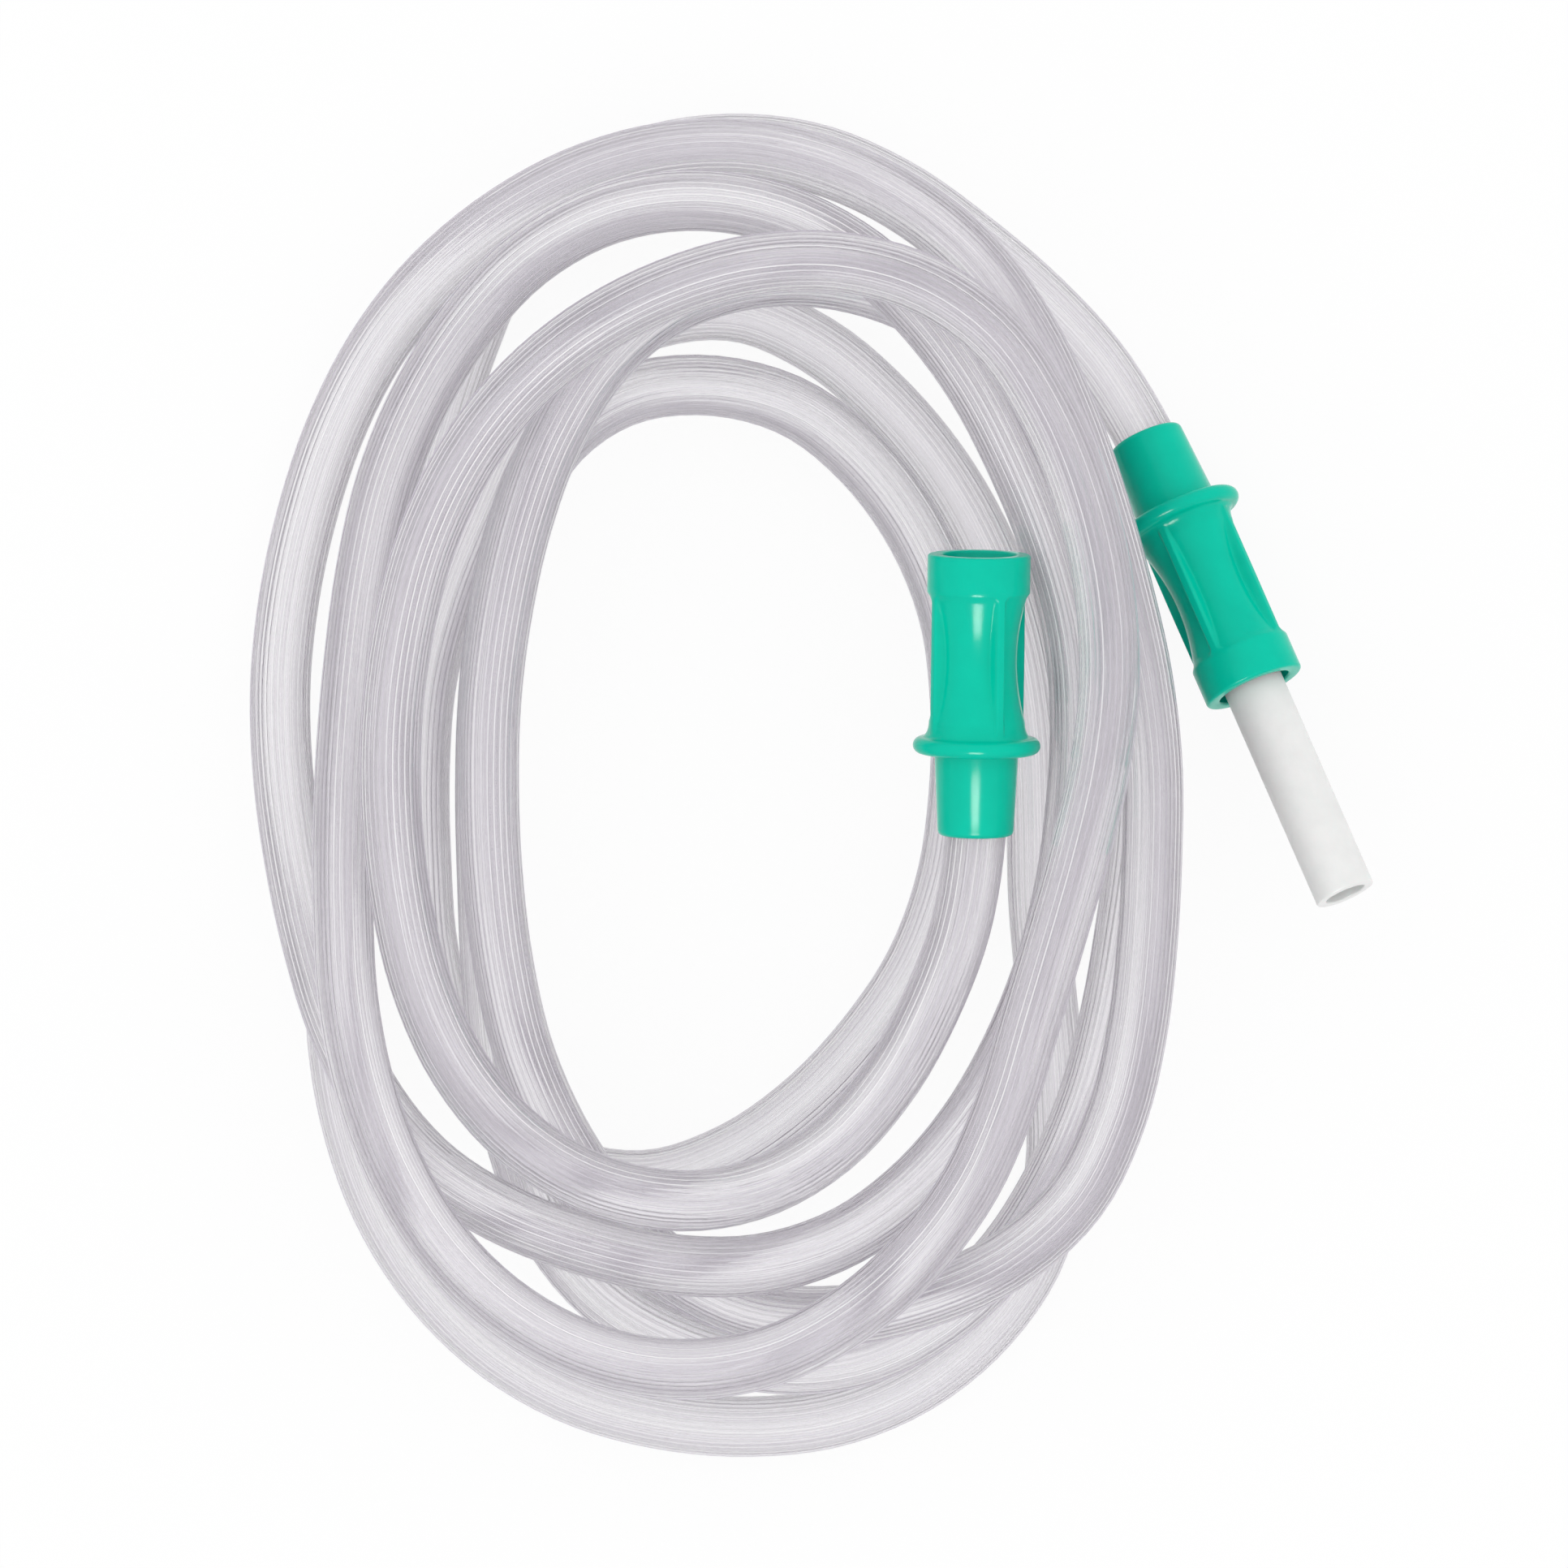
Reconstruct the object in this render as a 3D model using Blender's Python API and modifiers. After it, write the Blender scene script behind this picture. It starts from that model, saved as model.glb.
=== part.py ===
"""Suction tubing: a loose coil of clear tube with a moulded female connector on each end.

A straight adapter tube is pushed into the mouth of one connector. The coil lies flat on the ground
as it was dropped, turn over turn, and the other connector lies on top of it. Units are metres and
+Z is up; the lengths below are in millimetres and are multiplied by MM where they are used.
"""

import math

import bpy
import numpy as np
from mathutils import Matrix, Vector

MM = 0.001
FIT_GAP = 0.3  # clearance between pieces that touch, all round

# Tube: 3/8 in. outside and 1/4 in. inside, 10 ft long as sold, in a coil of this length along Y.
TUBE_OUTER = 9.525
TUBE_SIDES_RESOLUTION = 2
TUBE_POINT_SPACING = 14.0
COIL_LENGTH = 211.225

# Connector, measured along its axis from the tail end, where the tube goes in, to the mouth.
CONNECTOR_LENGTH = 44.0
TAIL_LENGTH = 12.8
TAIL_END_DIAMETER = 11.9
TAIL_ROOT_DIAMETER = 13.1
TAIL_EDGE_ROUND = 0.9
FLANGE_DIAMETER = 19.9
FLANGE_THICKNESS = 2.6
FLARE_LENGTH = 2.4
CORE_END_DIAMETER = 15.0
CORE_WAIST_DIAMETER = 12.2
COLLAR_DIAMETER = 16.05
COLLAR_LENGTH = 6.1
COLLAR_EDGE_ROUND = 0.5
COLLAR_STEP_LENGTH = 0.7
WING_COUNT = 4
WING_DIAMETER = 15.9
WING_THICKNESS = 1.4
WING_EDGE_ROUND = 0.35
WING_ROOT_DEPTH = 0.35
WING_RUN_IN = 0.8  # the share of the flare and of the collar's step that a wing runs into
MOUTH_DIAMETER = 11.6
MOUTH_LIP_ROUND = 0.4
MOUTH_SOCKET_DEPTH = 15.0
PASSAGE_DIAMETER = 6.4
TAIL_SOCKET_DEPTH = 12.5
REVOLVE_STEPS = 44
CORE_STATIONS = 9
FLARE_STATIONS = 4
WING_STATIONS = 11
EDGE_STATIONS = 3
TAIL_EDGE_STATIONS = 4
FLANGE_RIM_STATIONS = 7
WING_EDGE_SEGMENTS = 2
SEAM_MERGE = 0.01

# Straight adapter, a plain tube.
ADAPTER_OUTER = 9.5
ADAPTER_INNER = 6.4
ADAPTER_LENGTH = 50.8
ADAPTER_EDGE_ROUND = 0.3

# Where the connectors lie: the tail end in plan, then in degrees the way from tail to mouth, how far
# the mouth is up, and how the wings are turned about the axis.
FREE_TAIL = (25.6, -7.8)
FREE_HEADING = 89.3
FREE_TILT = 6.0
FREE_WING_TURN = 27.0
ADAPTER_TAIL = (52.5, 54.7)
ADAPTER_HEADING = -66.6
ADAPTER_TILT = 12.5
ADAPTER_WING_TURN = 27.0

# The way the tube lies in plan, from the adapter's connector round and round to the free connector.
ROUTE = [
    (44.7, 67.2), (34.9, 77.5), (11.1, 95.3), (-12.8, 101.0), (-41.1, 91.5), (-55.5, 64.6),
    (-64.1, 32.6), (-70.6, 3.1), (-74.4, -22.7), (-73.5, -47.8), (-64.8, -71.7), (-49.3, -89.1),
    (-30.5, -98.1), (-6.2, -100.7), (17.0, -94.1), (36.3, -72.3), (38.1, -42.2), (35.7, -20.7),
    (34.7, 11.5), (26.4, 40.1), (9.4, 62.4), (-12.6, 75.1), (-38.0, 66.1), (-52.6, 40.3),
    (-60.6, 14.9), (-60.7, -17.6), (-56.2, -40.6), (-36.7, -61.5), (-11.0, -57.2), (10.6, -37.2),
    (21.2, -15.7), (23.3, 15.3), (17.0, 38.7), (-4.2, 60.5), (-33.8, 59.5), (-45.6, 41.6),
    (-50.7, 11.1), (-50.4, -20.7), (-47.9, -48.6), (-36.7, -76.5), (-11.3, -89.9), (10.9, -88.6),
    (30.6, -73.7), (43.7, -48.6), (48.4, -27.0), (51.6, -4.1), (50.4, 21.3), (44.2, 45.4),
    (31.6, 65.1), (6.5, 78.9), (-21.7, 75.6), (-39.7, 55.2), (-48.4, 25.8), (-50.3, 2.2),
    (-48.9, -21.4), (-43.4, -45.9), (-30.1, -67.6), (-10.7, -81.9), (16.0, -80.7), (40.0, -67.0),
    (49.9, -43.6), (53.0, -16.6), (52.7, 10.8), (46.2, 39.2), (36.3, 66.2), (22.4, 85.4),
    (-0.9, 98.1), (-26.5, 98.7), (-50.5, 87.4), (-67.7, 69.4), (-78.5, 45.1), (-83.4, 14.9),
    (-80.1, -16.0), (-72.5, -41.4), (-58.3, -60.8), (-31.5, -72.7), (-5.6, -74.5), (14.7, -64.0),
    (29.7, -44.9), (38.4, -21.8), (41.7, 1.8), (40.9, 24.8), (33.4, 46.7), (23.0, 66.6),
    (2.4, 86.4), (-24.6, 91.1), (-47.2, 79.9), (-64.0, 54.7), (-70.1, 30.5), (-72.5, 6.5),
    (-73.0, -16.6), (-70.2, -44.8), (-57.5, -71.8), (-36.3, -87.8), (-11.5, -90.5), (9.0, -80.3),
    (25.5, -61.3), (33.9, -37.4), (41.3, -11.8), (46.4, 14.7), (42.8, 43.1), (28.7, 70.4),
    (6.5, 81.2), (-17.5, 78.9), (-41.0, 66.1), (-57.1, 45.0), (-64.1, 20.5), (-65.4, -4.1),
    (-60.2, -32.7), (-47.0, -53.7), (-25.9, -64.3), (-3.3, -61.0), (13.2, -44.7), (23.0, -23.2),
]
ROUTE_SAMPLES = 16
LEAD_OUT = 5.0  # the tube leaves each tail straight for this far

# How the tube lies: turn over turn, each strand resting on those laid before it.
LAY_STEP = 2.0
LAY_GAP = 0.5
LAY_EASE = 24.0
LAY_EASE_PLAN = 10.0
FIRST_CROSSING = 200.0
START_LEVELS_IN = 80.0
END_RISES_IN = 75.0
END_CARRIES_NONE = 97.5  # the tube's last stretch, which rises to the free connector and doesn't carry it
REST_STATIONS = 40


class Pose:
    """Where a connector lies: its tail end, the way its mouth points and how it is turned on its axis."""

    def __init__(self, tail, height, heading, tilt, turn):
        heading, tilt = math.radians(heading), math.radians(tilt)
        self.tail = np.array([tail[0], tail[1], height])
        self.axis = np.array([
            math.cos(heading) * math.cos(tilt),
            math.sin(heading) * math.cos(tilt),
            math.sin(tilt),
        ])
        self.turn = math.radians(turn)

    def at(self, along):
        """The point on the axis this far from the tail end, towards the mouth."""
        return self.tail + self.axis * along

    def matrix(self, along=0.0):
        """Local +Z to the axis and local +Y as near up as it goes, in metres."""
        axis = Vector(self.axis)
        side = Vector((0.0, 0.0, 1.0)).cross(axis).normalized()
        up = axis.cross(side)
        turned = Matrix((side, up, axis)).transposed().to_4x4() @ Matrix.Rotation(self.turn, 4, "Z")
        return Matrix.Translation(Vector(self.at(along)) * MM) @ turned


def arc(centre_r, centre_z, radius, start, end, count):
    """Points of a round corner in the (r, z) plane, from one angle to another in degrees."""
    angles = np.radians(np.linspace(start, end, count))
    return [(centre_r + radius * math.cos(a), centre_z + radius * math.sin(a)) for a in angles]


def flange_top():
    return TAIL_LENGTH + FLANGE_THICKNESS


def core_ends():
    """Where the waisted core starts at the flange and ends at the collar."""
    return flange_top() + FLARE_LENGTH, CONNECTOR_LENGTH - COLLAR_LENGTH - COLLAR_STEP_LENGTH


def core_radius(z):
    """The waisted core: thin half way and wide at both ends."""
    low, high = core_ends()
    share = 2.0 * (z - low) / (high - low) - 1.0
    waist, end = CORE_WAIST_DIAMETER / 2, CORE_END_DIAMETER / 2
    return waist + (end - waist) * share * share


def flare(foot):
    """The core's hollow curve from its low end out to the flange, short of the flange's own first point."""
    low, _ = core_ends()
    start = core_radius(low)
    angles = np.radians(np.linspace(0.0, 90.0, FLARE_STATIONS + 1)[1:-1])
    return [(foot - (foot - start) * math.cos(a), low - FLARE_LENGTH * math.sin(a)) for a in angles]


def connector_outside():
    """The connector's outer outline as (r, z), from the mouth's lip down to the tail end."""
    collar, flange = COLLAR_DIAMETER / 2, FLANGE_DIAMETER / 2
    collar_foot = CONNECTOR_LENGTH - COLLAR_LENGTH
    rim = FLANGE_THICKNESS / 2
    low, high = core_ends()
    tail, tail_root = TAIL_END_DIAMETER / 2, TAIL_ROOT_DIAMETER / 2
    edge = COLLAR_EDGE_ROUND
    points = arc(collar - edge, CONNECTOR_LENGTH - edge, edge, 90, 0, EDGE_STATIONS)
    points.append((collar, collar_foot))
    points += [(core_radius(z), z) for z in np.linspace(high, low, CORE_STATIONS)]
    points += flare(flange - rim)
    points += arc(flange - rim, TAIL_LENGTH + rim, rim, 90, -90, FLANGE_RIM_STATIONS)
    points.append((tail_root, TAIL_LENGTH))
    edge = TAIL_EDGE_ROUND
    points += arc(tail - edge, edge, edge, 0, -90, TAIL_EDGE_STATIONS)
    return points


def connector_inside():
    """The connector's bore as (r, z), from the tail end up to the mouth's lip."""
    socket = TUBE_OUTER / 2 + FIT_GAP
    seat = ADAPTER_OUTER / 2 + FIT_GAP
    mouth, passage = MOUTH_DIAMETER / 2, PASSAGE_DIAMETER / 2
    shoulder = CONNECTOR_LENGTH - MOUTH_SOCKET_DEPTH
    lip = CONNECTOR_LENGTH - MOUTH_LIP_ROUND
    points = [(socket, 0.0), (socket, TAIL_SOCKET_DEPTH), (passage, TAIL_SOCKET_DEPTH)]
    points += [(passage, shoulder), (seat, shoulder), (mouth, lip)]
    points += arc(mouth + MOUTH_LIP_ROUND, lip, MOUTH_LIP_ROUND, 180, 90, EDGE_STATIONS)[1:]
    return points


def outer_radius_at(z):
    """How far the connector reaches from its axis at a height, wings and all."""
    outline = sorted(connector_outside(), key=lambda point: point[1])
    reach = np.interp(z, [point[1] for point in outline], [point[0] for point in outline])
    low, high = core_ends()
    return max(reach, WING_DIAMETER / 2) if low <= z <= high else reach


def drawn_scale():
    """How much the route is enlarged from what is drawn here, so that the coil has its length."""
    along_y = [y for _, y in ROUTE]
    return (COIL_LENGTH - TUBE_OUTER) / (max(along_y) - min(along_y))


def smooth_route(points, step, ease):
    """A smooth curve through the route's points, in even steps, with the kinks of the hand taken out."""
    plan = np.array(points)
    padded = np.vstack([2 * plan[0] - plan[1], plan, 2 * plan[-1] - plan[-2]])
    curve = []
    for p0, p1, p2, p3 in zip(padded, padded[1:], padded[2:], padded[3:]):
        for t in np.linspace(0.0, 1.0, ROUTE_SAMPLES, endpoint=False):
            curve.append(0.5 * (
                2 * p1 + (p2 - p0) * t + (2 * p0 - 5 * p1 + 4 * p2 - p3) * t**2
                + (3 * p1 - p0 - 3 * p2 + p3) * t**3
            ))
    curve = even_steps(np.array(curve + [plan[-1]]), step)
    once = eased(curve, ease / step)
    return even_steps(2 * once - eased(once, ease / step), step)


def even_steps(curve, step):
    """The same curve with its points at even steps along it."""
    runs = np.linalg.norm(np.diff(curve, axis=0), axis=1)
    along = np.concatenate([[0.0], np.cumsum(runs)])
    count = max(2, round(along[-1] / step) + 1)
    even = np.linspace(0.0, along[-1], count)
    return np.column_stack([np.interp(even, along, axis) for axis in curve.T])


def eased(curve, sigma):
    """A running average with a bell-shaped weight. The ends stay where they are."""
    reach = int(3 * sigma)
    weights = np.exp(-0.5 * (np.arange(-reach, reach + 1) / sigma) ** 2)
    weights /= weights.sum()
    before = 2 * curve[0] - curve[reach:0:-1]
    after = 2 * curve[-1] - curve[-2 : -reach - 2 : -1]
    padded = np.vstack([before, curve, after])
    return np.column_stack([np.convolve(axis, weights, mode="valid") for axis in padded.T])


def resting_height(spot, reach, laid, laid_reach):
    """How high something round lies on what is already there, or on the ground."""
    apart = np.hypot(laid[:, 0] - spot[0], laid[:, 1] - spot[1])
    touch = reach + laid_reach + LAY_GAP
    under = apart < touch
    if not under.any():
        return reach
    rise = laid[under, 2] + np.sqrt(np.broadcast_to(touch, apart.shape)[under] ** 2 - apart[under] ** 2)
    return max(reach, rise.max())


def lay_tube(plan, fitting):
    """Heights of the tube along its route, each turn laid on the ones before it and on the first fitting.

    The tube is stiff, so it bridges: a height is the highest rest within reach, averaged over that reach.
    """
    radius = TUBE_OUTER / 2
    window = round(LAY_EASE / LAY_STEP)
    first = round(FIRST_CROSSING / LAY_STEP)
    count = len(plan)
    rest = np.full(count, radius)
    height = np.full(count, radius)
    stations = np.linspace(0.0, CONNECTOR_LENGTH, REST_STATIONS)
    fitting_spots = np.array([fitting.at(z) for z in stations])
    fitting_reach = np.array([outer_radius_at(z) for z in stations])
    drop = fitting.tail[2] - radius
    slope = math.tan(math.radians(ADAPTER_TILT))
    level = round(START_LEVELS_IN / LAY_STEP)
    height[:level] = radius + drop * np.exp(-np.arange(level) * LAY_STEP * slope / drop)
    rest[:level] = height[:level]
    for i in range(level, count + 2 * window):
        if first < i < count:
            laid = np.column_stack([plan[: i - first], height[: i - first]])
            rest[i] = max(
                resting_height(plan[i], radius, laid, radius),
                resting_height(plan[i], radius, fitting_spots, fitting_reach),
            )
        k = i - 2 * window
        if level <= k < count:
            near = range(max(level, k - window), min(count, k + window + 1))
            highest = [rest[max(level, n - window) : n + window + 1].max() for n in near]
            height[k] = sum(highest) / len(highest)
    return height


def raise_onto(pose, plan, height):
    """Lift the free connector until it lies on the strands under it."""
    laid = np.column_stack([plan, height])[: -round(END_CARRIES_NONE / LAY_STEP)]
    needs = []
    for z in np.linspace(0.0, CONNECTOR_LENGTH, REST_STATIONS):
        spot = pose.at(z)
        needs.append(resting_height(spot, outer_radius_at(z), laid, TUBE_OUTER / 2) - spot[2])
    pose.tail[2] += max(needs)


def tube_line():
    """The tube's centre line from one tail end to the other, and the poses of both connectors."""
    scale = drawn_scale()
    adapter_tail, free_tail = (tuple(scale * x for x in tail) for tail in (ADAPTER_TAIL, FREE_TAIL))
    fitting = Pose(adapter_tail, 0.0, ADAPTER_HEADING, ADAPTER_TILT, ADAPTER_WING_TURN)
    flange_low = FLANGE_DIAMETER / 2 * math.cos(math.radians(ADAPTER_TILT))
    flange_middle = TAIL_LENGTH + FLANGE_THICKNESS / 2
    fitting.tail[2] = flange_low - fitting.axis[2] * flange_middle
    free = Pose(free_tail, 0.0, FREE_HEADING, FREE_TILT, FREE_WING_TURN)
    leads = [tuple(pose.at(-LEAD_OUT)[:2]) for pose in (fitting, free)]
    drawn = [(scale * x, scale * y) for x, y in ROUTE]
    plan = smooth_route([adapter_tail, leads[0], *drawn, leads[1], free_tail], LAY_STEP, LAY_EASE_PLAN)
    height = lay_tube(plan, fitting)
    raise_onto(free, plan, height)
    to_go = np.arange(len(plan))[::-1] * LAY_STEP
    share = np.clip(1.0 - to_go / END_RISES_IN, 0.0, 1.0)
    share = share * share * (3.0 - 2.0 * share)
    on_axis = free.tail[2] - to_go * math.tan(math.radians(FREE_TILT))
    height = height + (on_axis - height) * share
    line = np.column_stack([plan, height])
    return line, fitting, free


def material(name, colour, roughness, transmission=0.0):
    made = bpy.data.materials.new(name)
    made.use_nodes = True
    shader = made.node_tree.nodes["Principled BSDF"]
    shader.inputs["Base Color"].default_value = (*colour, 1.0)
    shader.inputs["Roughness"].default_value = roughness
    shader.inputs["Metallic"].default_value = 0.0
    shader.inputs["Transmission Weight"].default_value = transmission
    return made


def collection(name):
    made = bpy.data.collections.new(name)
    bpy.context.scene.collection.children.link(made)
    return made


def mesh_object(name, vertices, edges, faces, into):
    mesh = bpy.data.meshes.new(name)
    mesh.from_pydata([Vector(v) * MM for v in vertices], edges, faces)
    mesh.update()
    made = bpy.data.objects.new(name, mesh)
    into.objects.link(made)
    return made


def turned(name, outline, into):
    """A closed outline of (r, z) points spun round the Z axis."""
    vertices = [(r, 0.0, z) for r, z in outline]
    edges = [(i, (i + 1) % len(vertices)) for i in range(len(vertices))]
    made = mesh_object(name, vertices, edges, [], into)
    screw = made.modifiers.new("Revolve", "SCREW")
    screw.steps = REVOLVE_STEPS
    screw.render_steps = REVOLVE_STEPS
    screw.use_merge_vertices = True
    screw.merge_threshold = SEAM_MERGE * MM
    screw.use_normal_calculate = True
    screw.use_smooth_shade = True
    return made


def wing(name, angle, into):
    """One of the plates that stand along the core, from the flange's flare to the collar."""
    foot, top = core_ends()
    low, high = foot - FLARE_LENGTH * WING_RUN_IN, top + COLLAR_STEP_LENGTH * WING_RUN_IN
    heights = np.linspace(low, high, WING_STATIONS)
    inner = [(core_radius(min(max(z, foot), top)) - WING_ROOT_DEPTH, z) for z in heights]
    outline = inner + [(WING_DIAMETER / 2, high), (WING_DIAMETER / 2, low)]
    half = WING_THICKNESS / 2
    count = len(outline)
    vertices = [(r, -half, z) for r, z in outline] + [(r, half, z) for r, z in outline]
    sides = [(i, (i + 1) % count, (i + 1) % count + count, i + count) for i in range(count)]
    faces = [tuple(range(count))[::-1], tuple(range(count, 2 * count))] + sides
    made = mesh_object(name, vertices, [], faces, into)
    made.data.transform(Matrix.Rotation(angle, 4, "Z"))
    bevel = made.modifiers.new("Round edges", "BEVEL")
    bevel.width = WING_EDGE_ROUND * MM
    bevel.segments = WING_EDGE_SEGMENTS
    bevel.limit_method = "ANGLE"
    bevel.angle_limit = math.radians(60.0)
    made.hide_render = True
    made.display_type = "WIRE"
    return made


def connector(name, pose, finish, into, wings_into):
    body = turned(name, connector_outside() + connector_inside(), into)
    for i in range(WING_COUNT):
        plate = wing(f"{name}_wing_{i + 1}", i * math.tau / WING_COUNT, wings_into)
        plate.matrix_world = pose.matrix()
        join = body.modifiers.new(f"Wing {i + 1}", "BOOLEAN")
        join.operation = "UNION"
        join.solver = "EXACT"
        join.object = plate
    body.data.materials.append(finish)
    body.matrix_world = pose.matrix()
    return body


def adapter(name, pose, finish, into):
    """The plain tube that is pushed into the mouth, down to just short of the shoulder."""
    outer, inner = ADAPTER_OUTER / 2, ADAPTER_INNER / 2
    edge = ADAPTER_EDGE_ROUND
    outline = arc(outer - edge, ADAPTER_LENGTH - edge, edge, 90, 0, EDGE_STATIONS)
    outline += arc(outer - edge, edge, edge, 0, -90, EDGE_STATIONS)
    outline += [(inner, 0.0), (inner, ADAPTER_LENGTH)]
    made = turned(name, outline, into)
    made.data.materials.append(finish)
    made.matrix_world = pose.matrix(CONNECTOR_LENGTH - MOUTH_SOCKET_DEPTH + FIT_GAP)
    return made


def tube(name, line, ends, finish, into):
    """The tube's outer shape along its centre line, and on into the tail socket at each end."""
    depth = TAIL_SOCKET_DEPTH - FIT_GAP
    first, last = ends[0].at(depth), ends[1].at(depth)
    points = np.vstack([first, even_steps(line, TUBE_POINT_SPACING), last])
    curve = bpy.data.curves.new(name, "CURVE")
    curve.dimensions = "3D"
    curve.bevel_depth = TUBE_OUTER / 2 * MM
    curve.bevel_resolution = TUBE_SIDES_RESOLUTION
    curve.use_fill_caps = True
    spline = curve.splines.new("POLY")
    spline.points.add(len(points) - 1)
    for point, place in zip(spline.points, points):
        point.co = (*(Vector(place) * MM), 1.0)
    spline.use_smooth = True
    curve.materials.append(finish)
    made = bpy.data.objects.new(name, curve)
    into.objects.link(made)
    return made


def main():
    for old in list(bpy.data.objects):
        bpy.data.objects.remove(old, do_unlink=True)
    pieces = collection("suction_tubing")
    wings = collection("wing_plates")
    green = material("teal_pvc", (0.0, 0.58, 0.44), 0.35)
    clear = material("clear_pvc", (0.80, 0.78, 0.82), 0.15, transmission=0.6)
    white = material("translucent_white", (0.84, 0.84, 0.83), 0.3, transmission=0.2)
    line, fitting, free = tube_line()
    tube("suction_tube", line, (fitting, free), clear, pieces)
    connector("free_end_connector", free, green, pieces, wings)
    connector("adapter_end_connector", fitting, green, pieces, wings)
    adapter("straight_adapter", fitting, white, pieces)


main()
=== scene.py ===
"""Looks of a suction tubing set: a loose coil of clear ribbed tube, its two teal connectors and a frosted adapter.

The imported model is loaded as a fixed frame, in metres with +Z up, and every piece here stands in for one of its
nodes. The camera looks straight down on the coil, as the photograph does.
"""

import logging
import math
from dataclasses import dataclass, field
from enum import Enum

import bmesh
import bpy
import numpy as np
from mathutils import Matrix, Vector


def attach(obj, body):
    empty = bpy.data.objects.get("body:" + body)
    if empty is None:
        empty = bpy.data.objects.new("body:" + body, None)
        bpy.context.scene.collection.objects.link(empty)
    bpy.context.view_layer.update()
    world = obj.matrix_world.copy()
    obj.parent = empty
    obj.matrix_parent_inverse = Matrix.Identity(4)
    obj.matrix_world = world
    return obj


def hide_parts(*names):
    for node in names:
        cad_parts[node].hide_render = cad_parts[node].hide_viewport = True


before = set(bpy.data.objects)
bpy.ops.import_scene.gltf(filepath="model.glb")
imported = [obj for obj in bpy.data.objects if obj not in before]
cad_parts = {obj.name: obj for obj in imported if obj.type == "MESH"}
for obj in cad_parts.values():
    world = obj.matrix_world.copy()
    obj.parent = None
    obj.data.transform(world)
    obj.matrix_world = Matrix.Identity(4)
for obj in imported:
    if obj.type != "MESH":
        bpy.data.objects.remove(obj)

log = logging.getLogger("suction_tubing")

Point = tuple[float, float, float]
Colour = tuple[float, float, float]

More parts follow.
